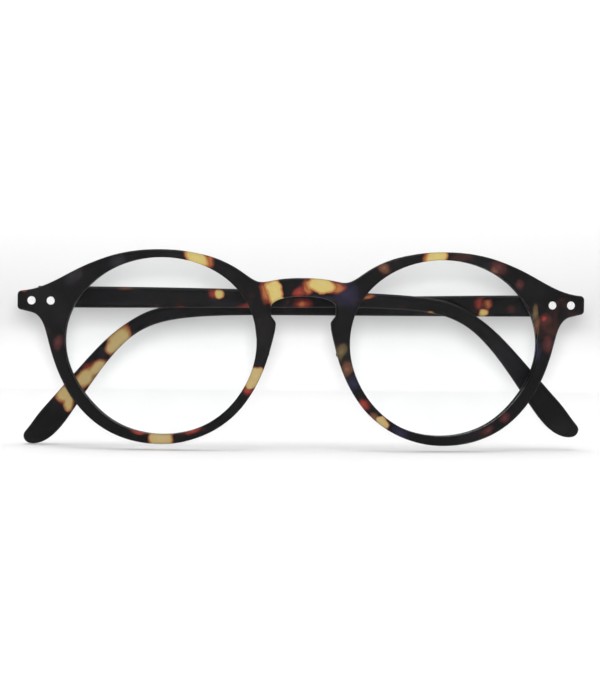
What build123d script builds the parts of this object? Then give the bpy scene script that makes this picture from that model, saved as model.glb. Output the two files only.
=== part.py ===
from build123d import *
import os
from math import asin, atan2, cos, degrees, radians, sin, sqrt

# Folding reading glasses: a round moulded front with a keyhole bridge, two
# lenses set in grooves, two temples on five-barrel riveted hinges.
# Millimetres, +Z up, front of the glasses faces -Y, +X is the wearer's left.
# Origin: middle of the underside of the bridge, where it sits on the nose.
# The stored pose is folded: right temple first, left temple over it.

# ---------------------------------------------------------------- front ----
front_width = 140.0        # overall width over the end pieces
front_thickness = 4.0      # moulded front, front face to rear face
bow_radius = 400.0         # the front is gently bowed around the head
rivet_z = -1.7             # height of the rivet line below the origin
edge_round = 0.8           # soft edge all round the outside of the front
opening_round = 0.45       # smaller soft edge round each lens opening

# half outline of the front, (x, height above the rivet line)
brow = [(0, 6.17), (4.2, 6.02), (8.0, 5.42), (10.6, 5.12), (12.6, 5.85),
        (15.2, 7.62), (18.4, 9.5), (22.2, 11.05), (26.5, 12.08), (30.8, 12.7),
        (34.9, 12.87), (39.0, 12.72), (43.3, 12.14), (47.5, 11.1),
        (51.2, 9.75), (54.7, 8.2), (58.7, 6.08), (62.4, 4.2), (65.2, 3.12),
        (67.6, 2.55), (70.0, 2.3)]
cheek = [(66.3, -2.98), (64.9, -3.82), (63.85, -5.25), (63.0, -7.5),
         (62.1, -10.9), (60.7, -15.4), (58.9, -19.6), (56.7, -23.4),
         (53.9, -26.9), (50.7, -29.8), (47.0, -32.1), (43.1, -33.65),
         (39.0, -34.55), (34.8, -34.82), (30.6, -34.5), (26.6, -33.5),
         (22.7, -31.9), (19.1, -29.65), (15.9, -26.8), (13.25, -23.4),
         (11.05, -19.6), (9.35, -15.6), (8.2, -11.9), (7.35, -8.6),
         (6.85, -6.2), (6.75, -4.7)]
keyhole_half_width = 7.95
keyhole_shoulder = -0.5    # where the arch of the keyhole starts
keyhole_ledge = -3.1       # where the nose flank steps in
arch_points = [(7.95, -0.5), (6.9, 0.45), (5.15, 1.15), (2.6, 1.57), (0, 1.7),
               (-2.6, 1.57), (-5.15, 1.15), (-6.9, 0.45), (-7.95, -0.5)]

# ----------------------------------------------------------------- lens ----
lens_x = 34.8
lens_z = -10.9             # lens centre, below the rivet line
# radius of the opening every 30 degrees, from the outer side, over the top
opening_radii = [23.5, 23.3, 22.25, 21.8, 22.55, 23.7,
                 23.5, 22.65, 22.12, 21.56, 21.68, 22.15]
lens_setback = 0.35        # groove plane behind the middle of the rim
groove_half = 0.85         # half width of the V groove at its mouth
groove_depth = 0.65
lens_gap = 0.03
bevel_height = 0.55
bevel_half = 0.74
lens_front_radius = 130.0
lens_back_radius = 205.0
lens_crown = 2.85          # front vertex ahead of the bevel
lens_hollow = 0.35         # back vertex ahead of the bevel

# ------------------------------------------------------------- nose pad ----
pad_centre = (9.55, -9.1)  # of its root, above and beside the rivet line
pad_length = 6.8
pad_width = 1.9
pad_lean = 7.5             # follows the side of the nose
pad_splay = 12.0
pad_height = 4.0
pad_soft = 0.4

# ---------------------------------------------------------------- hinge ----
hinge_x = 64.1
barrel_radius = 1.35
barrel_standoff = 1.95     # barrel axis behind the rear face of the front
knuckle = 0.78             # height of one of the five knuckles
knuckle_gap = 0.04
screw_radius = 0.6
screw_fit = 0.01
running_fit = 0.04
head_radius = 1.05
head_height = 0.55
plate_thickness = 0.8
plate_half_height = 1.95
front_plate_in = -4.75     # plate ends, along the front from the barrel
front_plate_out = 2.75
rivet_x = (61.8, 66.5)     # where the rivet heads show on the front face
rivet_radius = 0.65
rivet_head_radius = 1.02
rivet_head_depth = 0.6
rivet_proud = 0.05
pin_in_plate = 0.4

# --------------------------------------------------------------- temple ----
temple_thickness = 3.4
temple_inset = 2.1         # inner face of the temple from the barrel axis
temple_round = 1.0
temple_plate_start = 1.7
temple_plate_end = 5.6
temple_plate_half = 1.5
temple_plate_proud = 0.35
temple_rivets_at = (3.7,)
open_splay = 3.0           # each temple opens this far past square
right_tilt = 1.6           # folded, the right temple leans to the lenses
left_tilt = 1.6            # and the left temple lies over it
right_lift, right_drop = 0.73, 0.0
left_lift, left_drop = -0.35, 0.85
butt_gap = 0.15

# temple side outline, (distance from the barrel axis, height)
temple_top = [(-3.0, 2.65), (12.0, 2.65), (40.0, 2.5), (65.0, 2.08),
              (80.0, 1.7), (89.5, 1.24), (96.5, 0.52), (101.6, -0.62),
              (106.4, -2.95), (112.3, -7.3), (118.6, -13.7), (126.6, -22.6),
              (130.5, -27.1), (132.6, -29.9)]
temple_tip = [(133.75, -31.9), (133.1, -33.3), (131.2, -33.85)]
temple_bottom = [(128.3, -33.05), (125.4, -30.8), (121.9, -26.4),
                 (115.2, -16.75), (109.9, -10.3), (105.4, -6.45),
                 (100.2, -4.0), (94.2, -2.76), (86.5, -2.16), (78.0, -2.0),
                 (65.0, -2.1), (40.0, -2.36), (12.0, -2.65), (-3.0, -2.65)]

# ------------------------------------------------------ derived geometry ---
front_outer = bow_radius + front_thickness / 2
rear_inner = bow_radius - front_thickness / 2
axis_radius = rear_inner - barrel_standoff
hinge_y = bow_radius - sqrt(axis_radius ** 2 - hinge_x ** 2)
slope = degrees(asin(hinge_x / axis_radius))     # of the front at the hinge
barrel_half = 2.5 * knuckle


def bowed(radius, x):
    """Depth of a bowed surface at a distance from the middle."""
    return bow_radius - sqrt(radius ** 2 - x ** 2)


def from_rivets(points):
    return [(x, z + rivet_z) for x, z in points]


def opening(extra):
    """Closed lens contour, in the lens plane, grown by a radial allowance."""
    return [((r + extra) * cos(radians(30 * i)), (r + extra) * sin(radians(30 * i)))
            for i, r in enumerate(opening_radii)]


# lens plane on the wearer's left: normal points forward, tilted with the bow
lens_tilt = asin(lens_x / bow_radius)
lens_normal = Vector(sin(lens_tilt), -cos(lens_tilt), 0)
lens_plane = Plane(
    origin=Vector(lens_x, bowed(bow_radius, lens_x), lens_z + rivet_z)
    - lens_normal * lens_setback,
    x_dir=(cos(lens_tilt), sin(lens_tilt), 0),
    z_dir=tuple(lens_normal))

# nose pad plane: just inside the rim, normal back and outwards
pad_plane = Plane(origin=(pad_centre[0], 1.2, pad_centre[1] + rivet_z),
                  x_dir=(-cos(radians(pad_splay)), sin(radians(pad_splay)), 0),
                  z_dir=(sin(radians(pad_splay)), cos(radians(pad_splay)), 0))

# hinge plane on the wearer's left: origin on the barrel axis, normal forward
hinge_out = Vector(cos(radians(slope)), sin(radians(slope)), 0)
hinge_fwd = Vector(sin(radians(slope)), -cos(radians(slope)), 0)
hinge_point = Vector(hinge_x, hinge_y, rivet_z)
hinge_plane = Plane(origin=hinge_point, x_dir=tuple(hinge_out), z_dir=tuple(hinge_fwd))
# rivets run square to the front; where they cross the hinge plane
rivet_t = [(x - hinge_x - (barrel_standoff + front_thickness) * sin(radians(slope)))
           / cos(radians(slope)) for x in rivet_x]
plate_mid = (front_plate_in + front_plate_out) / 2
plate_len = front_plate_out - front_plate_in

# temple planes in the folded pose: local x runs along the temple
right_dir = Vector(cos(radians(right_tilt)), -sin(radians(right_tilt)), 0)
left_dir = Vector(-cos(radians(left_tilt)), sin(radians(left_tilt)), 0)
right_rear = Vector(sin(radians(right_tilt)), cos(radians(right_tilt)), 0)
left_rear = Vector(sin(radians(left_tilt)), cos(radians(left_tilt)), 0)
right_point = Vector(-hinge_x, hinge_y, rivet_z)


# ---------------------------------------------------------- front_frame ----
with BuildPart() as front_half:
    with BuildSketch(Plane.XY.offset(-50)) as plan:
        with BuildLine():
            fore = ThreePointArc((0, bowed(front_outer, 0)), (38, bowed(front_outer, 38)),
                                 (76, bowed(front_outer, 76)))
            aft = ThreePointArc((0, bowed(rear_inner, 0)), (38, bowed(rear_inner, 38)),
                                (76, bowed(rear_inner, 76)))
            Line(fore @ 0, aft @ 0)
            Line(fore @ 1, aft @ 1)
        make_face()
    extrude(amount=80)
    with BuildSketch(Plane.XZ.offset(20)) as face:
        with BuildLine():
            top = Spline(*from_rivets([(-x, z) for x, z in brow[2:0:-1]] + brow))
            side = Line(top @ 1, (front_width / 2, -2.12 + rivet_z))
            under = Line(side @ 1, (cheek[0][0], cheek[0][1] + rivet_z))
            rim = Spline(*from_rivets(cheek))
            ledge = Line(rim @ 1, (keyhole_half_width, keyhole_ledge + rivet_z))
            flank = Line(ledge @ 1, (keyhole_half_width, keyhole_shoulder + rivet_z))
            arch = Spline(*from_rivets(arch_points))
            Line(arch @ 1, top @ 0)
        make_face()
        for corner, soft in (((front_width / 2, brow[-1][1]), 1.0),
                             ((front_width / 2, -2.12), 1.0),
                             (cheek[0], 2.5), (cheek[-1], 1.1),
                             ((keyhole_half_width, keyhole_ledge), 0.7),
                             ((keyhole_half_width, keyhole_shoulder), 1.2)):
            fillet(face.vertices().sort_by_distance((corner[0], corner[1] + rivet_z))[0],
                   radius=soft)
    extrude(amount=-50, mode=Mode.INTERSECT)
    broad = front_half.faces().sort_by(SortBy.AREA)[-2:]
    fillet(broad.edges().filter_by(lambda e: e.center().X > 0.3), radius=edge_round)
    # lens opening
    with BuildSketch(lens_plane.offset(-14)):
        with BuildLine():
            Spline(*opening(0), periodic=True)
        make_face()
    extrude(amount=28, mode=Mode.SUBTRACT)
    fillet(front_half.edges(Select.LAST).filter_by(GeomType.LINE, reverse=True),
           radius=opening_round)
    # moulded nose pad, splayed outwards towards the face
    with BuildSketch(pad_plane):
        SlotCenterToCenter(pad_length, pad_width, rotation=90 + pad_lean)
    extrude(amount=pad_height)
    pad_tip = front_half.faces().sort_by_distance(pad_plane.offset(pad_height).origin)[0]
    fillet(pad_tip.edges(), radius=pad_soft)
    # pocket for the hinge plate and holes for its two rivets
    with BuildSketch(hinge_plane.offset(barrel_standoff - 2.0)):
        with Locations((plate_mid, 0)):
            Rectangle(plate_len + 0.04, 2 * plate_half_height + 0.04)
    extrude(amount=2.0 + plate_thickness, mode=Mode.SUBTRACT)
    with BuildSketch(hinge_plane.offset(barrel_standoff)):
        with Locations(*[(t, 0) for t in rivet_t]):
            Circle(rivet_radius)
    extrude(amount=front_thickness + 1, mode=Mode.SUBTRACT)
    with BuildSketch(hinge_plane.offset(barrel_standoff + front_thickness - rivet_head_depth)):
        with Locations(*[(t, 0) for t in rivet_t]):
            Circle(rivet_head_radius)
    extrude(amount=2, mode=Mode.SUBTRACT)
    # V groove that holds the lens
    for reach in (-1, 1):
        with BuildSketch(lens_plane) as crest:
            with BuildLine():
                Spline(*opening(groove_depth), periodic=True)
            make_face()
        with BuildSketch(lens_plane.offset(2 * reach * groove_half)) as mouth:
            with BuildLine():
                Spline(*opening(-groove_depth), periodic=True)
            make_face()
        loft([crest.sketch, mouth.sketch], ruled=True, mode=Mode.SUBTRACT)

with BuildPart() as front_frame:
    add(front_half.part)
    mirror(front_half.part, about=Plane.YZ)

# --------------------------------------------------------------- lenses ----
with BuildPart() as lens_left:
    with BuildSketch(lens_plane.offset(-3)):
        with BuildLine():
            Spline(*opening(-lens_gap), periodic=True)
        make_face()
    extrude(amount=8)
    for reach in (-1, 1):
        with BuildSketch(lens_plane) as ridge:
            with BuildLine():
                Spline(*opening(bevel_height), periodic=True)
            make_face()
        with BuildSketch(lens_plane.offset(2 * reach * bevel_half)) as base:
            with BuildLine():
                Spline(*opening(-bevel_height - 2 * lens_gap), periodic=True)
            make_face()
        loft([ridge.sketch, base.sketch], ruled=True)
    with Locations(lens_plane.offset(lens_crown - lens_front_radius)):
        Sphere(lens_front_radius, mode=Mode.INTERSECT)
    with Locations(lens_plane.offset(lens_hollow - lens_back_radius)):
        Sphere(lens_back_radius, mode=Mode.SUBTRACT)

with BuildPart() as lens_right:
    mirror(lens_left.part, about=Plane.YZ)

# ---------------------------------------------------- front hinge leaves ---
# plate sunk flush in the rear of the end piece, three knuckles standing off
with BuildPart() as front_leaf_left:
    with BuildSketch(hinge_plane.offset(barrel_standoff)):
        with Locations((plate_mid, 0)):
            RectangleRounded(plate_len, 2 * plate_half_height, 0.5)
    extrude(amount=plate_thickness)
    for level in (-2, 0, 2):
        base = Plane(origin=hinge_point + Vector(0, 0, (level - 0.5) * knuckle),
                     x_dir=tuple(hinge_out), z_dir=(0, 0, 1))
        with BuildSketch(base):
            Circle(barrel_radius)
            with Locations((0, -(barrel_standoff + 0.1) / 2)):
                Rectangle(2 * barrel_radius, barrel_standoff + 0.1)
        extrude(amount=knuckle)
    with BuildSketch(Plane(origin=hinge_point - Vector(0, 0, 4), z_dir=(0, 0, 1))):
        Circle(screw_radius + screw_fit)
    extrude(amount=8, mode=Mode.SUBTRACT)
    # blind holes for the rivet pins
    with BuildSketch(hinge_plane.offset(barrel_standoff + plate_thickness - pin_in_plate)):
        with Locations(*[(t, 0) for t in rivet_t]):
            Circle(rivet_radius + 0.005)
    extrude(amount=2, mode=Mode.SUBTRACT)

with BuildPart() as front_leaf_right:
    mirror(front_leaf_left.part, about=Plane.YZ)

# ---------------------------------------------------------- front rivets ---
with BuildPart() as front_rivets_left:
    with BuildSketch(hinge_plane.offset(barrel_standoff + plate_thickness - pin_in_plate)):
        with Locations(*[(t, 0) for t in rivet_t]):
            Circle(rivet_radius - 0.01)
    extrude(amount=front_thickness - plate_thickness + pin_in_plate)
    with BuildSketch(hinge_plane.offset(barrel_standoff + front_thickness - rivet_head_depth + 0.01)):
        with Locations(*[(t, 0) for t in rivet_t]):
            Circle(rivet_head_radius - 0.015)
    extrude(amount=rivet_head_depth + rivet_proud)
    fillet(front_rivets_left.faces().sort_by(Axis.Y)[:2].edges(), radius=0.12)

with BuildPart() as front_rivets_right:
    mirror(front_rivets_left.part, about=Plane.YZ)

# ---------------------------------------------------------- hinge screws ---
with BuildPart() as screw_left:
    with BuildSketch(Plane(origin=hinge_point - Vector(0, 0, barrel_half), z_dir=(0, 0, 1))):
        Circle(screw_radius)
    extrude(amount=2 * barrel_half + 0.1)
    with BuildSketch(Plane(origin=hinge_point + Vector(0, 0, barrel_half + 0.02), z_dir=(0, 0, 1))):
        Circle(head_radius)
    extrude(amount=head_height)
    fillet(screw_left.edges().sort_by(Axis.Z)[-1], radius=0.2)
    with BuildSketch(Plane(origin=hinge_point + Vector(0, 0, barrel_half + head_height - 0.23),
                           x_dir=(0.8, 0.6, 0), z_dir=(0, 0, 1))):
        Rectangle(3, 0.32)
    extrude(amount=1, mode=Mode.SUBTRACT)

with BuildPart() as screw_right:
    with BuildSketch(Plane(origin=right_point - Vector(0, 0, barrel_half), z_dir=(0, 0, 1))):
        Circle(screw_radius)
    extrude(amount=2 * barrel_half + 0.1)
    with BuildSketch(Plane(origin=right_point + Vector(0, 0, barrel_half + 0.02), z_dir=(0, 0, 1))):
        Circle(head_radius)
    extrude(amount=head_height)
    fillet(screw_right.edges().sort_by(Axis.Z)[-1], radius=0.2)
    with BuildSketch(Plane(origin=right_point + Vector(0, 0, barrel_half + head_height - 0.23),
                           x_dir=(0.3, 0.95, 0), z_dir=(0, 0, 1))):
        Rectangle(3, 0.32)
    extrude(amount=1, mode=Mode.SUBTRACT)

# --------------------------------------------------------------- temples ---
# the hinge end is mitred to meet the rear of the end piece when fully open
splay = radians(open_splay)
mitre = []
for x in (hinge_x + 2.1, hinge_x + 5.5):
    dx = x - hinge_x
    dy = bowed(rear_inner, x) + butt_gap - hinge_y
    mitre.append((dx * sin(splay) + dy * cos(splay), dx * cos(splay) - dy * sin(splay)))
(s1, n1), (s2, n2) = mitre
mitre_slope = (s2 - s1) / (n2 - n1)
mitre_in = s1 + (temple_inset - 0.6 - n1) * mitre_slope
mitre_out = s1 + (temple_inset + temple_thickness + 0.6 - n1) * mitre_slope


def raised(points, lift, drop):
    c, s = cos(radians(drop)), sin(radians(drop))
    return [(x * c + z * s, -x * s + z * c + lift) for x, z in points]


def slide(origin, along, rear, s, n, z):
    """Point in the folded temple: s along it, n behind its barrel axis."""
    return origin + along * s + rear * n + Vector(0, 0, z)


# right temple
right_face = Plane(origin=right_point, x_dir=tuple(right_dir), z_dir=tuple(right_rear * -1))
with BuildPart() as temple_right:
    with BuildSketch(right_face.offset(-temple_inset - temple_thickness)):
        with BuildLine():
            up = Spline(*raised(temple_top + temple_tip + temple_bottom, right_lift, right_drop))
            Line(up @ 1, up @ 0)
        make_face()
    extrude(amount=temple_thickness)
    fillet(temple_right.edges().filter_by(GeomType.BSPLINE), radius=temple_round)
    with BuildSketch(Plane(origin=right_point - Vector(0, 0, 6), x_dir=tuple(right_dir),
                           z_dir=(0, 0, 1))):
        with BuildLine():
            Polyline((-8, temple_inset - 0.6), (mitre_in, temple_inset - 0.6),
                     (mitre_out, temple_inset + temple_thickness + 0.6),
                     (-8, temple_inset + temple_thickness + 0.6), close=True)
        make_face()
    extrude(amount=12, mode=Mode.SUBTRACT)
    # pocket for the hinge plate, and two rivet holes
    with BuildSketch(right_face.offset(-temple_inset - plate_thickness + temple_plate_proud)):
        with Locations(((temple_plate_start + temple_plate_end) / 2, 0)):
            Rectangle(temple_plate_end - temple_plate_start + 0.04, 2 * temple_plate_half + 0.04)
    extrude(amount=3, mode=Mode.SUBTRACT)
    with BuildSketch(right_face.offset(-temple_inset - temple_thickness)):
        with Locations(*[(s, 0) for s in temple_rivets_at]):
            Circle(rivet_radius)
    extrude(amount=temple_thickness, mode=Mode.SUBTRACT)
    with BuildSketch(right_face.offset(-temple_inset - temple_thickness)):
        with Locations(*[(s, 0) for s in temple_rivets_at]):
            Circle(rivet_head_radius)
    extrude(amount=rivet_head_depth, mode=Mode.SUBTRACT)

# left temple
left_face = Plane(origin=hinge_point, x_dir=tuple(left_dir), z_dir=tuple(left_rear))
with BuildPart() as temple_left:
    with BuildSketch(left_face.offset(temple_inset)):
        with BuildLine():
            up = Spline(*raised(temple_top + temple_tip + temple_bottom, left_lift, left_drop))
            Line(up @ 1, up @ 0)
        make_face()
    extrude(amount=temple_thickness)
    fillet(temple_left.edges().filter_by(GeomType.BSPLINE), radius=temple_round)
    with BuildSketch(Plane(origin=hinge_point - Vector(0, 0, 6), x_dir=tuple(left_dir),
                           z_dir=(0, 0, 1))):
        with BuildLine():
            Polyline((-8, -temple_inset + 0.6), (mitre_in, -temple_inset + 0.6),
                     (mitre_out, -temple_inset - temple_thickness - 0.6),
                     (-8, -temple_inset - temple_thickness - 0.6), close=True)
        make_face()
    extrude(amount=12, mode=Mode.SUBTRACT)
    with BuildSketch(left_face.offset(temple_inset + plate_thickness - temple_plate_proud)):
        with Locations(((temple_plate_start + temple_plate_end) / 2, 0)):
            Rectangle(temple_plate_end - temple_plate_start + 0.04, 2 * temple_plate_half + 0.04)
    extrude(amount=-3, mode=Mode.SUBTRACT)
    with BuildSketch(left_face.offset(temple_inset)):
        with Locations(*[(s, 0) for s in temple_rivets_at]):
            Circle(rivet_radius)
    extrude(amount=temple_thickness, mode=Mode.SUBTRACT)
    with BuildSketch(left_face.offset(temple_inset + temple_thickness)):
        with Locations(*[(s, 0) for s in temple_rivets_at]):
            Circle(rivet_head_radius)
    extrude(amount=-rivet_head_depth, mode=Mode.SUBTRACT)

# --------------------------------------------------- temple hinge leaves ---
# plate let into the temple's inner face, two knuckles on a short web
with BuildPart() as temple_leaf_right:
    with BuildSketch(right_face.offset(-temple_inset - plate_thickness + temple_plate_proud)):
        with Locations(((temple_plate_start + temple_plate_end) / 2, 0)):
            RectangleRounded(temple_plate_end - temple_plate_start, 2 * temple_plate_half, 0.5)
    extrude(amount=plate_thickness)
    for level in (-1, 1):
        with BuildSketch(Plane(origin=right_point + Vector(0, 0, (level - 0.5) * knuckle
                                                           + knuckle_gap),
                               x_dir=tuple(right_dir), z_dir=(0, 0, 1))):
            Circle(barrel_radius)
            with Locations((1.6, 1.15)):
                Rectangle(3.2, 1.5)
        extrude(amount=knuckle - 2 * knuckle_gap)
    with BuildSketch(Plane(origin=right_point - Vector(0, 0, 4), z_dir=(0, 0, 1))):
        Circle(screw_radius + running_fit)
    extrude(amount=8, mode=Mode.SUBTRACT)
    with BuildSketch(right_face.offset(-temple_inset - plate_thickness + temple_plate_proud)):
        with Locations(*[(s, 0) for s in temple_rivets_at]):
            Circle(rivet_radius + 0.005)
    extrude(amount=pin_in_plate, mode=Mode.SUBTRACT)

with BuildPart() as temple_leaf_left:
    with BuildSketch(left_face.offset(temple_inset - temple_plate_proud)):
        with Locations(((temple_plate_start + temple_plate_end) / 2, 0)):
            RectangleRounded(temple_plate_end - temple_plate_start, 2 * temple_plate_half, 0.5)
    extrude(amount=plate_thickness)
    for level in (-1, 1):
        with BuildSketch(Plane(origin=hinge_point + Vector(0, 0, (level - 0.5) * knuckle
                                                           + knuckle_gap),
                               x_dir=tuple(left_dir), z_dir=(0, 0, 1))):
            Circle(barrel_radius)
            with Locations((1.6, -1.15)):
                Rectangle(3.2, 1.5)
        extrude(amount=knuckle - 2 * knuckle_gap)
    with BuildSketch(Plane(origin=hinge_point - Vector(0, 0, 4), z_dir=(0, 0, 1))):
        Circle(screw_radius + running_fit)
    extrude(amount=8, mode=Mode.SUBTRACT)
    with BuildSketch(left_face.offset(temple_inset - temple_plate_proud + plate_thickness)):
        with Locations(*[(s, 0) for s in temple_rivets_at]):
            Circle(rivet_radius + 0.005)
    extrude(amount=-pin_in_plate, mode=Mode.SUBTRACT)

# --------------------------------------------------------- temple rivets ---
with BuildPart() as temple_rivets_right:
    with BuildSketch(right_face.offset(-temple_inset - temple_thickness + 0.2)):
        with Locations(*[(s, 0) for s in temple_rivets_at]):
            Circle(rivet_radius - 0.01)
    extrude(amount=temple_thickness - 0.2 - plate_thickness + temple_plate_proud + pin_in_plate)
    with BuildSketch(right_face.offset(-temple_inset - temple_thickness - rivet_proud)):
        with Locations(*[(s, 0) for s in temple_rivets_at]):
            Circle(rivet_head_radius - 0.015)
    extrude(amount=rivet_head_depth + rivet_proud - 0.01)
    fillet(temple_rivets_right.faces().sort_by(Axis.Y)[-2:].edges(), radius=0.12)

with BuildPart() as temple_rivets_left:
    with BuildSketch(left_face.offset(temple_inset + temple_thickness - 0.2)):
        with Locations(*[(s, 0) for s in temple_rivets_at]):
            Circle(rivet_radius - 0.01)
    extrude(amount=-(temple_thickness - 0.2 - plate_thickness + temple_plate_proud
                     + pin_in_plate))
    with BuildSketch(left_face.offset(temple_inset + temple_thickness + rivet_proud)):
        with Locations(*[(s, 0) for s in temple_rivets_at]):
            Circle(rivet_head_radius - 0.015)
    extrude(amount=-(rivet_head_depth + rivet_proud - 0.01))
    fillet(temple_rivets_left.faces().sort_by(Axis.Y)[-2:].edges(), radius=0.12)

# ---------------------------------------------------------------- export ---
os.makedirs("parts", exist_ok=True)
front_frame.part.label = "front_frame"
export_step(front_frame.part, "parts/front_frame.step")
lens_right.part.label = "lens_right"
export_step(lens_right.part, "parts/lens_right.step")
lens_left.part.label = "lens_left"
export_step(lens_left.part, "parts/lens_left.step")
front_leaf_right.part.label = "front_leaf_right"
export_step(front_leaf_right.part, "parts/front_leaf_right.step")
front_leaf_left.part.label = "front_leaf_left"
export_step(front_leaf_left.part, "parts/front_leaf_left.step")
front_rivets_right.part.label = "front_rivets_right"
export_step(front_rivets_right.part, "parts/front_rivets_right.step")
front_rivets_left.part.label = "front_rivets_left"
export_step(front_rivets_left.part, "parts/front_rivets_left.step")
screw_right.part.label = "screw_right"
export_step(screw_right.part, "parts/screw_right.step")
screw_left.part.label = "screw_left"
export_step(screw_left.part, "parts/screw_left.step")
temple_right.part.label = "temple_right"
export_step(temple_right.part, "parts/temple_right.step")
temple_left.part.label = "temple_left"
export_step(temple_left.part, "parts/temple_left.step")
temple_leaf_right.part.label = "temple_leaf_right"
export_step(temple_leaf_right.part, "parts/temple_leaf_right.step")
temple_leaf_left.part.label = "temple_leaf_left"
export_step(temple_leaf_left.part, "parts/temple_leaf_left.step")
temple_rivets_right.part.label = "temple_rivets_right"
export_step(temple_rivets_right.part, "parts/temple_rivets_right.step")
temple_rivets_left.part.label = "temple_rivets_left"
export_step(temple_rivets_left.part, "parts/temple_rivets_left.step")

print("hinge axis x %.4f y %.4f z %.4f slope %.3f" % (hinge_x, hinge_y, rivet_z, slope))
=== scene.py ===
import math

import bpy
from mathutils import Matrix, Vector


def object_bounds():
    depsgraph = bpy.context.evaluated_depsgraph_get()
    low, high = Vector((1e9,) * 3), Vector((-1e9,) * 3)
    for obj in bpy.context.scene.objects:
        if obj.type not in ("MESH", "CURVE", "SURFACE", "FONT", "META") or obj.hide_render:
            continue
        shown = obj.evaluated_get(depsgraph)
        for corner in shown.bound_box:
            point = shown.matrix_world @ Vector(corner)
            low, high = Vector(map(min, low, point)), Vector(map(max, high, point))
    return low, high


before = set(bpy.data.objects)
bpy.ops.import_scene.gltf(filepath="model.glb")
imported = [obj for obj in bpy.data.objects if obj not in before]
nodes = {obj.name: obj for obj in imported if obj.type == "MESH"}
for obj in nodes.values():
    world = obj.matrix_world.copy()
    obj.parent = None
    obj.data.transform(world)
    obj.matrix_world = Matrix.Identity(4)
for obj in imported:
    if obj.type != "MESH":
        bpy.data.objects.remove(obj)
cad_lo, cad_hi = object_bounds()
scene = bpy.context.scene
scene.view_settings.view_transform = "Standard"

# ---------------------------------------------------------------- camera ---
# A long lens, nearly square to the front: a little to the wearer's right,
# a little above, rolled by about half a degree.
eye = Vector((-0.0315, -0.60217, 0.01408))
right = Vector((0.99866, -0.05054, 0.01113)).normalized()
up = Vector((-0.00897, 0.04278, 0.99904))
up = (up - right * up.dot(right)).normalized()
back = right.cross(up)
cam_data = bpy.data.cameras.new("camera")
cam_data.lens = 129.28
cam_data.sensor_width = 36
cam_data.clip_start = 0.02
cam_data.clip_end = 20
cam = bpy.data.objects.new("camera", cam_data)
scene.collection.objects.link(cam)
cam.matrix_world = Matrix(((right.x, up.x, back.x, eye.x),
                           (right.y, up.y, back.y, eye.y),
                           (right.z, up.z, back.z, eye.z),
                           (0, 0, 0, 1)))
scene.camera = cam


# ------------------------------------------------------------ node helpers --
class Tree:
    """A small wrapper that adds nodes and links them."""

    def __init__(self, name):
        self.mat = bpy.data.materials.new(name)
        self.mat.use_nodes = True
        self.t = self.mat.node_tree
        self.t.nodes.clear()
        self.out = self.t.nodes.new("ShaderNodeOutputMaterial")

    def node(self, kind, **props):
        n = self.t.nodes.new(kind)
        for k, v in props.items():
            setattr(n, k, v)
        return n

    def put(self, socket, value):
        if isinstance(value, bpy.types.NodeSocket):
            self.t.links.new(value, socket)
        else:
            socket.default_value = value

    def math(self, op, a, b=0.0, c=0.0, clamp=False):
        n = self.node("ShaderNodeMath", operation=op, use_clamp=clamp)
        for i, v in enumerate((a, b, c)):
            self.put(n.inputs[i], v)
        return n.outputs[0]

    def vec(self, op, a, b=None, scale=None):
        n = self.node("ShaderNodeVectorMath", operation=op)
        self.put(n.inputs[0], a)
        if b is not None:
            self.put(n.inputs[1], b)
        if scale is not None:
            self.put(n.inputs["Scale"], scale)
        return n.outputs["Value"] if op == "LENGTH" else n.outputs[0]

    def noise(self, p, scale, detail=2.0, rough=0.5, colour=False, distortion=0.0):
        n = self.node("ShaderNodeTexNoise")
        self.put(n.inputs["Vector"], p)
        n.inputs["Scale"].default_value = scale
        n.inputs["Detail"].default_value = detail
        n.inputs["Roughness"].default_value = rough
        n.inputs["Distortion"].default_value = distortion
        return n.outputs["Color" if colour else "Fac"]

    def ramp(self, fac, stops, ease="LINEAR"):
        n = self.node("ShaderNodeValToRGB")
        cr = n.color_ramp
        cr.interpolation = ease
        while len(cr.elements) > 1:
            cr.elements.remove(cr.elements[-1])
        for i, (pos, col) in enumerate(stops):
            el = cr.elements[0] if i == 0 else cr.elements.new(pos)
            el.position = pos
            el.color = tuple(col) if len(col) == 4 else (*col, 1.0)
        self.put(n.inputs["Fac"], fac)
        return n

    def mix(self, fac, a, b):
        n = self.node("ShaderNodeMix", data_type="RGBA")
        self.put(n.inputs["Factor"], fac)
        self.put(n.inputs["A"], a)
        self.put(n.inputs["B"], b)
        return n.outputs["Result"]

    def map(self, value, lo, hi, to_lo, to_hi):
        n = self.node("ShaderNodeMapRange")
        for i, v in enumerate((value, lo, hi, to_lo, to_hi)):
            self.put(n.inputs[i], v)
        return n.outputs[0]

    def bump(self, height, strength, distance, normal=None):
        n = self.node("ShaderNodeBump")
        n.inputs["Strength"].default_value = strength
        n.inputs["Distance"].default_value = distance
        self.put(n.inputs["Height"], height)
        if normal is not None:
            self.put(n.inputs["Normal"], normal)
        return n.outputs[0]

    def coords(self):
        return self.node("ShaderNodeTexCoord").outputs["Object"]

    def finish(self, shader):
        self.t.links.new(shader, self.out.inputs["Surface"])
        return self.mat


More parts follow.
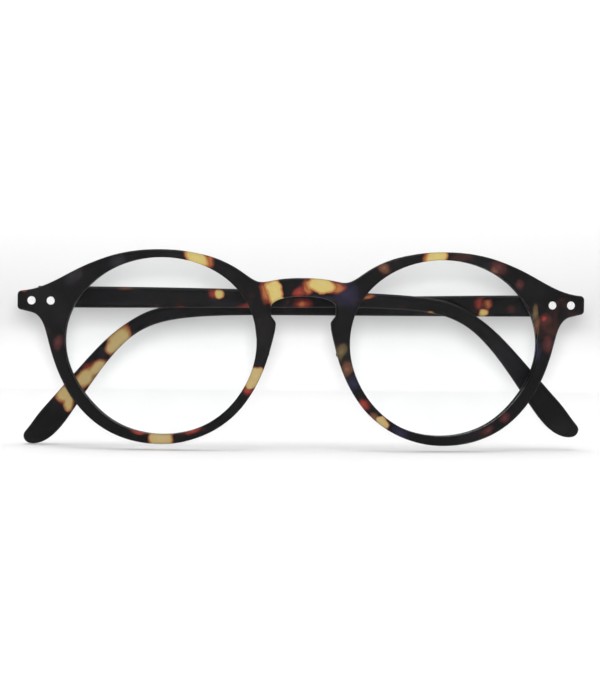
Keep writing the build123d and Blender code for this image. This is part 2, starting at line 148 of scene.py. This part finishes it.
# ----------------------------------------------------------- tortoiseshell --
# Each patch: kind, x, z (mm, row frame), half length, half width (mm), turn
# (degrees, clockwise seen from the front).
# Kinds G and P, here and in the temple lists, are painted sheen; the other kinds are pigment.
FRONT = [
    ("Y", -26.2, 9.2, 3.2, 1.6, 25), ("O", -23.2, 8.2, 1.3, 1.5, 25),
    ("G", -45.4, 8.4, 2.4, 1.9, -15), ("G", -56.1, 4.4, 2.4, 1.9, -25),
    ("R", -68.4, 0.4, 0.9, 0.5, 0), ("M", -59.9, -12.1, 1.0, 1.9, 0),
    ("R", -39.7, -33.6, 2.2, 0.6, 17), ("R", -27.0, -33.1, 2.9, 0.8, -17),
    ("T", -34.5, -35.1, 2.8, 2.3, 0),
    ("T", -11.5, -19.3, 1.8, 1.7, 0), ("T", -12.4, -21.1, 1.7, 1.4, -50),
    ("R", -13.4, -23.2, 1.6, 1.3, 0),
    ("Y", -7.6, 1.0, 1.8, 3.1, -8), ("Y", -6.3, -0.9, 1.5, 1.2, -15),
    ("O", -9.3, 0.8, 1.3, 2.4, 0), ("R", -1.5, 1.3, 1.2, 1.7, 20),
    ("O", 0.7, 2.8, 1.5, 2.0, 0), ("Y", 4.1, 3.0, 3.6, 1.5, 6),
    ("O", 8.1, 2.4, 2.1, 1.4, 10),
    ("P", 10.4, 0.4, 3.2, 3.2, 0), ("P", 4.4, -0.3, 3.4, 1.1, 5),
    ("L", 9.3, -13.7, 1.4, 2.5, 10), ("B", 10.7, -17.9, 1.5, 2.3, 15),
    ("P", 12.5, -21.0, 1.6, 2.1, 30), ("R", 15.0, -26.4, 1.4, 1.5, 40),
    ("B", 17.5, -29.3, 1.6, 1.4, 40), ("T", 19.6, -30.8, 1.6, 1.3, 38),
    ("P", 24.0, -33.3, 2.4, 1.6, 20),
    ("B", 19.5, 6.7, 1.9, 1.6, -30), ("Y", 32.4, 10.0, 2.3, 2.1, 0),
    ("O", 30.4, 9.8, 1.2, 1.9, 0),
    ("M", 48.4, 7.4, 2.2, 1.9, 25), ("B", 47.6, 6.6, 1.1, 0.8, 20),
    ("M", 53.5, 3.3, 1.1, 1.4, 40), ("L", 57.4, -3.6, 1.0, 2.4, 5),
    ("B", 58.1, -7.0, 0.8, 2.3, 3), ("M", 60.2, -5.6, 1.9, 1.6, 0), ("R", 60.0, -5.4, 0.9, 0.8, 0),
    ("M", 60.8, -11.0, 1.7, 2.2, 0), ("P", 58.2, -13.2, 1.0, 2.4, 5),
    ("M", 49.9, -29.3, 1.7, 1.2, -35), ("M", 45.7, -32.3, 1.7, 1.0, -22),
]
RIGHT_TEMPLE = [
    ("Y", -20.3, 0.4, 1.35, 1.2, 0), ("R", -22.0, 0.4, 1.5, 1.5, 0),
    ("R", -13.3, -3.2, 2.6, 1.1, 0), ("R", 0.4, -2.4, 2.3, 1.6, 0),
    ("O", 0.2, -2.2, 1.1, 0.9, 0),
    ("O", 16.5, 0.3, 1.9, 0.6, 8), ("Y", 30.6, -4.4, 2.2, 0.55, 3),
    ("R", -29.9, -3.2, 0.9, 0.4, -5), ("B", -44.0, 0.9, 2.6, 0.8, 0),
]
LEFT_TEMPLE = [
    ("R", 44.9, -1.5, 1.4, 1.6, 0), ("Y", 46.1, -3.7, 1.3, 1.1, 0),
    ("O", 46.9, -1.7, 0.9, 1.2, 0),
    ("T", -45.2, -11.0, 3.6, 2.9, -60), ("T", -46.8, -13.2, 2.6, 2.0, -50), ("R", -44.0, -9.0, 1.5, 2.0, -20),
    ("T", -50.2, -18.8, 3.4, 2.3, -30), ("T", -53.4, -21.2, 3.2, 2.4, -45), ("R", -53.2, -18.4, 1.9, 0.7, -30),
    ("T", -58.9, -25.6, 2.6, 2.5, 20), ("T", -57.6, -27.4, 1.6, 2.2, 10), ("R", -57.3, -28.4, 1.1, 1.3, 0),
    ("R", -54.6, -24.2, 1.5, 0.8, -30), ("P", -54.0, -22.6, 1.7, 0.9, -30),
    ("B", 12.0, -3.0, 3.0, 1.0, 0), ("M", 52.5, -3.0, 1.6, 1.2, 0),
]
# distance from the patch centre (0 to 1 is inside) to colour and cover
KINDS = {
    # G: painted sheen, a grey gloss on the black surface painted into its colour
    "G": [(0.0, (0.022, 0.022, 0.025, 0.75)), (0.5, (0.016, 0.016, 0.019, 0.6)),
          (1.0, (0.008, 0.008, 0.010, 0.0))],
    # P: painted sheen, a blue-purple gloss on the black surface painted into its colour
    "P": [(0.0, (0.019, 0.016, 0.034, 0.95)), (0.6, (0.013, 0.011, 0.024, 0.75)),
          (1.0, (0.006, 0.005, 0.010, 0.0))],
    "M": [(0.0, (0.085, 0.027, 0.026, 0.85)), (0.55, (0.055, 0.016, 0.016, 0.65)),
          (1.0, (0.020, 0.006, 0.006, 0.0))],
    "L": [(0.0, (0.120, 0.090, 0.042, 0.95)), (0.55, (0.080, 0.056, 0.028, 0.8)),
          (1.0, (0.020, 0.012, 0.008, 0.0))],
    "B": [(0.0, (0.140, 0.068, 0.038, 0.95)), (0.45, (0.100, 0.043, 0.024, 0.8)),
          (1.0, (0.030, 0.010, 0.008, 0.0))],
    "R": [(0.0, (0.230, 0.036, 0.022, 1.0)), (0.45, (0.175, 0.025, 0.017, 0.9)),
          (0.8, (0.080, 0.012, 0.010, 0.5)), (1.0, (0.040, 0.006, 0.006, 0.0))],
    "O": [(0.0, (0.310, 0.130, 0.042, 1.0)), (0.45, (0.270, 0.088, 0.030, 0.95)),
          (0.8, (0.150, 0.030, 0.016, 0.55)), (1.0, (0.080, 0.012, 0.008, 0.0))],
    "T": [(0.0, (0.345, 0.262, 0.120, 1.0)), (0.70, (0.325, 0.240, 0.102, 1.0)),
          (0.84, (0.230, 0.105, 0.036, 0.95)), (0.94, (0.140, 0.026, 0.014, 0.6)),
          (1.0, (0.080, 0.010, 0.008, 0.0))],
    "Y": [(0.0, (0.410, 0.330, 0.122, 1.0)), (0.60, (0.400, 0.310, 0.105, 1.0)),
          (0.80, (0.310, 0.150, 0.044, 1.0)), (0.92, (0.180, 0.038, 0.018, 0.7)),
          (1.0, (0.100, 0.014, 0.010, 0.0))],
}
EDGE = 1.25      # a ramp's end, in patch radii
LEVEL = 0.78     # patch colours against the studio light


def tortoise(name, patches, seed):
    """Dark moulded tortoiseshell, rubbed to a soft matt surface."""
    t = Tree(name)
    p = t.coords()
    # the patches' outlines wander: one slow and one quick warp of the position
    moved = t.vec("ADD", p, (seed, 0.31 * seed, -0.17 * seed))
    slow = t.vec("SUBTRACT", t.noise(moved, 190, 2.5, 0.5, colour=True), (0.5, 0.5, 0.5))
    quick = t.vec("SUBTRACT", t.noise(moved, 850, 3.0, 0.6, colour=True), (0.5, 0.5, 0.5))
    warped = t.vec("ADD", p, t.vec("SCALE", slow, scale=0.0030))
    warped = t.vec("ADD", warped, t.vec("SCALE", quick, scale=0.0007))
    # ground: near black, with slow smoke and a few deep brown clouds
    smoke = t.noise(t.vec("ADD", moved, t.vec("SCALE", slow, scale=0.004)), 95, 4.0, 0.55)
    colour = t.ramp(smoke, [(0.30, (0.0016, 0.0015, 0.0019)), (0.52, (0.0028, 0.0025, 0.0030)),
                            (0.70, (0.0065, 0.0056, 0.0064))]).outputs["Color"]
    cloud = t.noise(t.vec("ADD", moved, (0.4, 0.2, 0.7)), 150, 3.0, 0.5, distortion=0.6)
    colour = t.mix(t.map(cloud, 0.60, 0.76, 0.0, 0.8), colour, (0.030, 0.011, 0.008, 1.0))
    # patches laid over the ground: pigment, and in kinds G and P painted sheen
    for kind in ("G", "P", "M", "L", "R", "B", "O", "T", "Y"):
        near = None
        for k, x, z, a, b, turn in patches:
            if k != kind:
                continue
            m = t.node("ShaderNodeMapping", vector_type="TEXTURE")
            t.put(m.inputs["Vector"], warped)
            m.inputs["Location"].default_value = (x / 1000, 0, z / 1000)
            m.inputs["Rotation"].default_value = (0, math.radians(turn), 0)
            m.inputs["Scale"].default_value = (a / 1000, 0.02, b / 1000)
            d = t.vec("LENGTH", m.outputs[0])
            near = d if near is None else t.math("SMOOTH_MIN", near, d, 0.12)
        if near is None:
            continue
        stops = [(at, (c[0] * LEVEL, c[1] * LEVEL, c[2] * LEVEL, c[3])) for at, c in KINDS[kind]]
        r = t.ramp(t.math("DIVIDE", near, EDGE), stops, "EASE")
        colour = t.mix(r.outputs["Alpha"], colour, r.outputs["Color"])
    # fine pigment grain, only seen close to
    grain = t.noise(moved, 5200, 2.0, 0.6)
    colour = t.mix(t.map(grain, 0.35, 0.75, 0.0, 0.16), colour, (0.0, 0.0, 0.0, 1.0))
    bsdf = t.node("ShaderNodeBsdfPrincipled")
    t.put(bsdf.inputs["Base Color"], colour)
    bsdf.inputs["Specular IOR Level"].default_value = 0.17
    bsdf.inputs["IOR"].default_value = 1.46
    rubbed = t.noise(moved, 420, 4.0, 0.6)
    t.put(bsdf.inputs["Roughness"], t.map(rubbed, 0.3, 0.7, 0.44, 0.56))
    skin = t.bump(t.noise(moved, 9000, 2.0, 0.6), 0.10, 0.00003)
    wave = t.bump(t.noise(moved, 240, 1.0, 0.4), 0.10, 0.00008, skin)
    t.put(bsdf.inputs["Normal"], wave)
    return t.finish(bsdf.outputs[0])


# ------------------------------------------------------------------- metals --
def metal(name, colour, dark, rough, stretch, brush):
    """Turned or stamped metal: fine marks and faint stains."""
    t = Tree(name)
    p = t.coords()
    m = t.node("ShaderNodeMapping")
    t.put(m.inputs["Vector"], p)
    m.inputs["Scale"].default_value = stretch
    marks = t.noise(m.outputs[0], 1.0, 3.0, 0.6)
    stain = t.noise(p, 900, 4.0, 0.6)
    bsdf = t.node("ShaderNodeBsdfPrincipled")
    t.put(bsdf.inputs["Base Color"],
          t.mix(t.map(stain, 0.42, 0.72, 0.0, 0.5), (*colour, 1.0), (*dark, 1.0)))
    bsdf.inputs["Metallic"].default_value = 1.0
    t.put(bsdf.inputs["Roughness"], t.map(marks, 0.3, 0.7, rough - 0.07, rough + 0.09))
    t.put(bsdf.inputs["Normal"], t.bump(marks, brush, 0.00002))
    return t.finish(bsdf.outputs[0])


# -------------------------------------------------------------------- lens --
def lens_glass():
    """Clear coated lens: sees straight through, with a weak coloured reflection."""
    t = Tree("clear_lens")
    p = t.coords()
    clear = t.node("ShaderNodeBsdfTransparent")
    haze = t.noise(p, 140, 3.0, 0.5)
    t.put(clear.inputs["Color"],
          t.ramp(haze, [(0.3, (0.985, 0.992, 0.990)), (0.7, (0.996, 0.998, 0.997))]).outputs[0])
    gloss = t.node("ShaderNodeBsdfPrincipled")
    tint = t.ramp(t.noise(p, 60, 1.0, 0.5),
                  [(0.35, (0.46, 0.62, 0.60)), (0.65, (0.55, 0.52, 0.68))])
    t.put(gloss.inputs["Base Color"], tint.outputs[0])
    gloss.inputs["Metallic"].default_value = 1.0
    t.put(gloss.inputs["Roughness"], t.map(t.noise(p, 500, 4.0, 0.6), 0.3, 0.8, 0.02, 0.07))
    fresnel = t.node("ShaderNodeFresnel")
    fresnel.inputs["IOR"].default_value = 1.32
    mix = t.node("ShaderNodeMixShader")
    t.put(mix.inputs[0], t.math("MULTIPLY", fresnel.outputs[0], 0.22, clamp=True))
    t.put(mix.inputs[1], clear.outputs[0])
    t.put(mix.inputs[2], gloss.outputs[0])
    return t.finish(mix.outputs[0])


front_look = tortoise("tortoise_front", FRONT, 1.7)
right_look = tortoise("tortoise_right_temple", RIGHT_TEMPLE, 4.3)
left_look = tortoise("tortoise_left_temple", LEFT_TEMPLE, 8.9)
hinge_look = metal("hinge_nickel_silver", (0.62, 0.60, 0.57), (0.40, 0.37, 0.33), 0.34,
                   (2500, 2500, 14000), 0.25)
rivet_look = metal("rivet_silver", (0.97, 0.97, 0.97), (0.86, 0.86, 0.86), 0.26,
                   (3000, 9000, 9000), 0.10)
screw_look = metal("screw_plated", (0.80, 0.80, 0.82), (0.50, 0.50, 0.52), 0.20,
                   (9000, 9000, 2500), 0.12)
glass_look = lens_glass()
LOOKS = {
    "front_frame": front_look, "temple_right": right_look, "temple_left": left_look,
    "lens_right": glass_look, "lens_left": glass_look,
    "front_leaf_right": hinge_look, "front_leaf_left": hinge_look,
    "temple_leaf_right": hinge_look, "temple_leaf_left": hinge_look,
    "front_rivets_right": rivet_look, "front_rivets_left": rivet_look,
    "temple_rivets_right": rivet_look, "temple_rivets_left": rivet_look,
    "screw_right": screw_look, "screw_left": screw_look,
}
for name, look in LOOKS.items():
    data = nodes[name].data
    data.materials.clear()
    data.materials.append(look)

# ------------------------------------------------------------------- stage --
# One pale sheet: floor under the glasses, curving up behind the open temples.
floor_z = cad_lo.z - 0.0002
profile = [(-3.0, 0.0), (-0.8, 0.0), (0.0, 0.0), (0.235, 0.0)]
radius = 0.025
for i in range(1, 17):
    a = math.radians(90 * i / 16)
    profile.append((0.235 + radius * math.sin(a), radius * (1 - math.cos(a))))
profile += [(0.235 + radius, 0.5), (0.235 + radius, 1.6)]
verts, faces = [], []
for y, z in profile:
    verts += [(-2.5, y, floor_z + z), (2.5, y, floor_z + z)]
for i in range(len(profile) - 1):
    faces.append((2 * i, 2 * i + 1, 2 * i + 3, 2 * i + 2))
sheet_mesh = bpy.data.meshes.new("studio_sheet")
sheet_mesh.from_pydata(verts, [], faces)
for f in sheet_mesh.polygons:
    f.use_smooth = True
sheet_obj = bpy.data.objects.new("studio_sheet", sheet_mesh)
scene.collection.objects.link(sheet_obj)
s = Tree("studio_paper")
place = s.node("ShaderNodeSeparateXYZ")
s.put(place.inputs[0], s.coords())
# paper colour set by height as painted light and shade: the floor is lighter, the wall just above it darker,
# and the wall lighter again higher up, evening out the light that falls on the sheet
rise = s.map(place.outputs["Z"], floor_z, floor_z + 0.022, 0.0, 1.0)
high = s.map(place.outputs["Z"], floor_z + 0.03, floor_z + 0.075, 0.0, 1.0)
matt = s.node("ShaderNodeBsdfDiffuse")
s.put(matt.inputs["Color"], s.mix(high, s.mix(rise, (0.82, 0.82, 0.82, 1.0),
                                               (0.60, 0.60, 0.60, 1.0)),
                                  (0.78, 0.78, 0.78, 1.0)))
# painted light: the floor part glows faintly, lifting the floor and its shade under the glasses
painted_floor_glow = s.node("ShaderNodeEmission")
s.put(painted_floor_glow.inputs["Color"], s.mix(rise, (0.09, 0.09, 0.09, 1.0), (0.0, 0.0, 0.0, 1.0)))
paper = s.node("ShaderNodeAddShader")
s.put(paper.inputs[0], matt.outputs[0])
s.put(paper.inputs[1], painted_floor_glow.outputs[0])
through = s.node("ShaderNodeBsdfTransparent")
side = s.node("ShaderNodeMixShader")
s.put(side.inputs[0], s.node("ShaderNodeNewGeometry").outputs["Backfacing"])
s.put(side.inputs[1], paper.outputs[0])
s.put(side.inputs[2], through.outputs[0])
sheet_mesh.materials.append(s.finish(side.outputs[0]))

# ------------------------------------------------------------------- light --
world = bpy.data.worlds.new("studio")
scene.world = world
world.use_nodes = True
world.node_tree.nodes["Background"].inputs["Color"].default_value = (1.0, 1.0, 1.0, 1.0)
world.node_tree.nodes["Background"].inputs["Strength"].default_value = 0.62


def area(name, where, aim, width, height, power):
    data = bpy.data.lights.new(name, "AREA")
    data.shape = "RECTANGLE"
    data.size, data.size_y = width, height
    data.energy = power
    obj = bpy.data.objects.new(name, data)
    scene.collection.objects.link(obj)
    obj.location = where
    obj.rotation_euler = (Vector(aim) - Vector(where)).to_track_quat("-Z", "Y").to_euler()
    obj.visible_camera = False
    return obj


# small light just over the lens gives the soft shadow below each edge
over_lens = area("over_lens", eye + up * 0.0105, (0, 0, -0.0116), 0.019, 0.019, 4.5)
over_lens.visible_glossy = False
# broad light straight down gives the bright band along every top edge
sun_data = bpy.data.lights.new("overhead", "SUN")
sun_data.energy = 1.35
sun_data.angle = math.radians(44)
sun = bpy.data.objects.new("overhead", sun_data)
scene.collection.objects.link(sun)
sun.location = (0, 0, 1)
